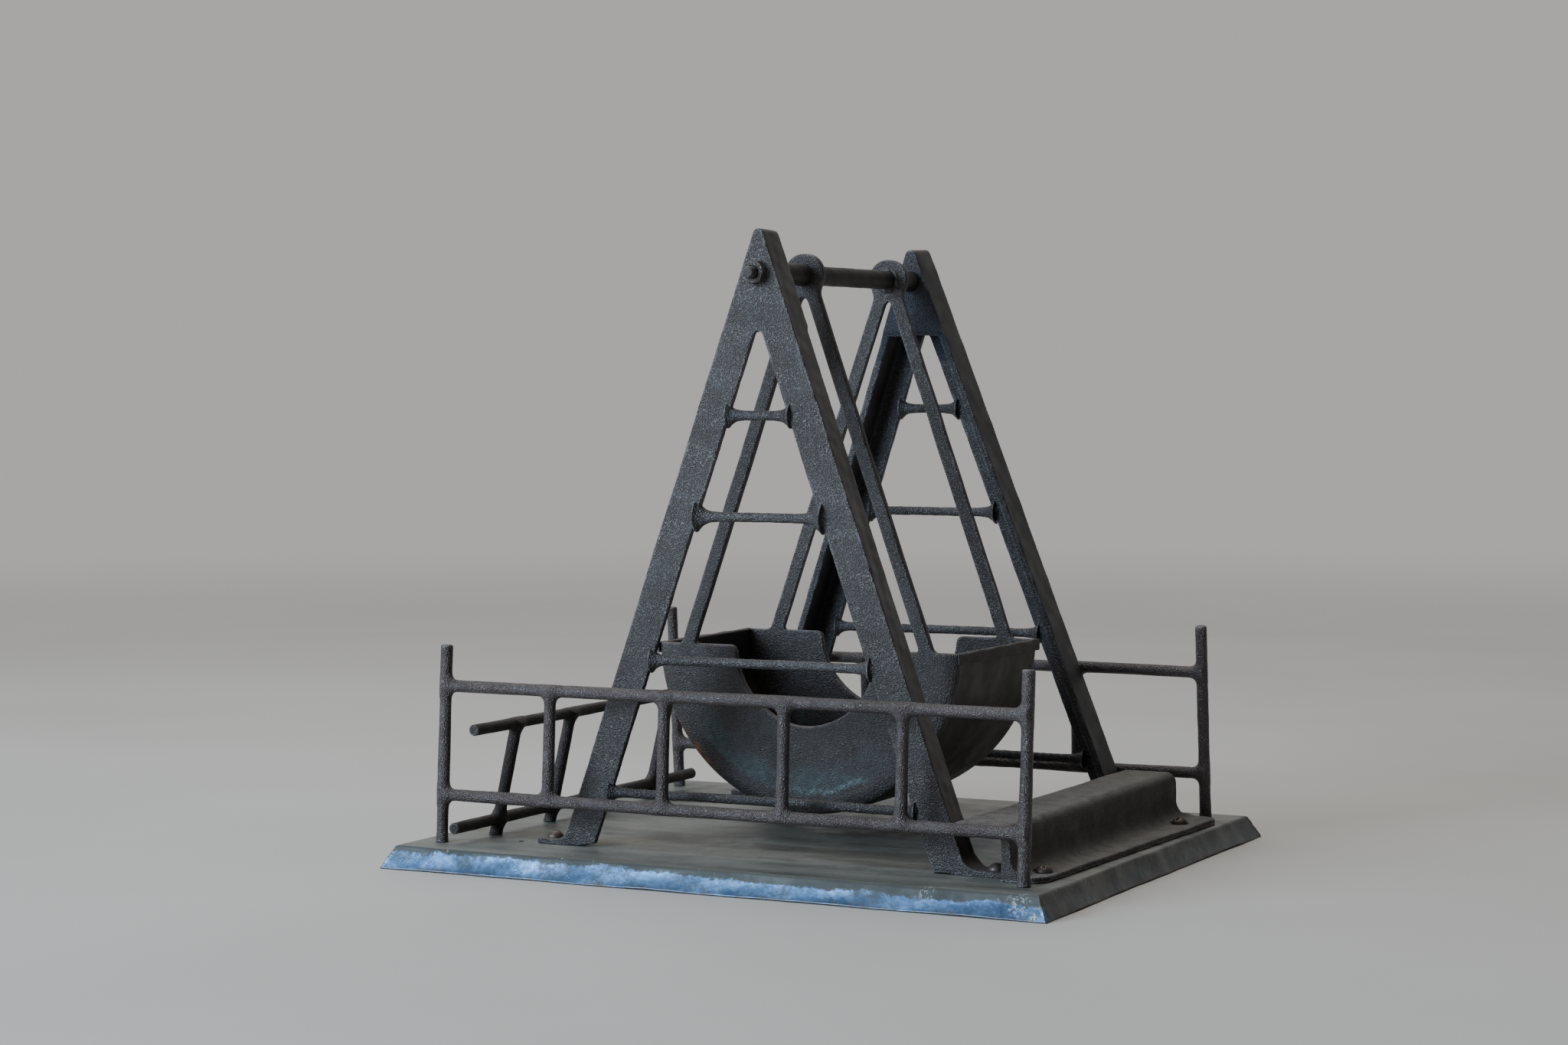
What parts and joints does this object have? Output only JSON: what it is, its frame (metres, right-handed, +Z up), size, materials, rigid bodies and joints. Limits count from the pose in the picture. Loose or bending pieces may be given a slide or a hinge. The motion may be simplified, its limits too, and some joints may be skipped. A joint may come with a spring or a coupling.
{
  "type": "model swing boat",
  "caption": "Free-standing scale model of a fairground swing boat: a half-round gondola hung between two A-frames on a railed sheet-metal tray, swinging about a through bolt.",
  "frame": {"origin": "on the ground under the middle of the base tray", "axes": "+X along the front railing from the fence to the sill, +Y from front to back along the swing's axis, +Z up"},
  "size_m": [0.375, 0.31, 0.3306],
  "materials": {
    "cast_iron": "pebbled dark brown-grey casting, semi-gloss",
    "rung_iron": "dark welded bar",
    "zinc_sheet": "grey-green weathered zinc-coated sheet",
    "gondola_sheet": "dark brown smooth sheet iron",
    "hanger_iron": "pebbled dark casting with blue-green patina",
    "dark_steel": "near-black smooth bar",
    "bolt_steel": "dark worn nut",
    "railing_iron": "pebbled brown-grey iron bar",
    "fence_iron": "dusty dark brown iron bar",
    "sill_iron": "dusty brown-grey casting",
    "screw_steel": "browned slotted screws",
    "nut_steel": "dull steel"
  },
  "bodies": {
    "stand": {"base_tray": "zinc_sheet", "front_a_frame": "cast_iron", "rear_a_frame": "cast_iron", "front_rungs": "rung_iron", "rear_rungs": "rung_iron", "through_bolt": "dark_steel", "bolt_nuts": "bolt_steel", "outer_spacers": "dark_steel", "front_posts": "railing_iron", "front_top_rail": "railing_iron", "front_bottom_rail": "railing_iron", "front_balusters": "railing_iron", "rear_posts": "railing_iron", "rear_top_rail": "railing_iron", "rear_bottom_rail": "railing_iron", "rear_balusters": "railing_iron", "fence_posts": "fence_iron", "fence_top_rail": "fence_iron", "fence_bottom_rail": "fence_iron", "side_sill": "sill_iron", "frame_screws": "screw_steel", "sill_screws": "screw_steel", "screw_nuts": "nut_steel", "post_nuts": "nut_steel"},
    "gondola": {"swing_tube": "dark_steel", "front_hanger": "hanger_iron", "rear_hanger": "hanger_iron", "gondola_shell": "gondola_sheet", "rim_strips": "gondola_sheet"}
  },
  "joints": [
    {"name": "gondola_swing", "type": "hinge", "parent": "stand", "child": "gondola", "pos_m": [0.0075, 0.0035, 0.3082], "axis": [0, 1, 0], "range_deg": [-60, 20]}
  ]
}
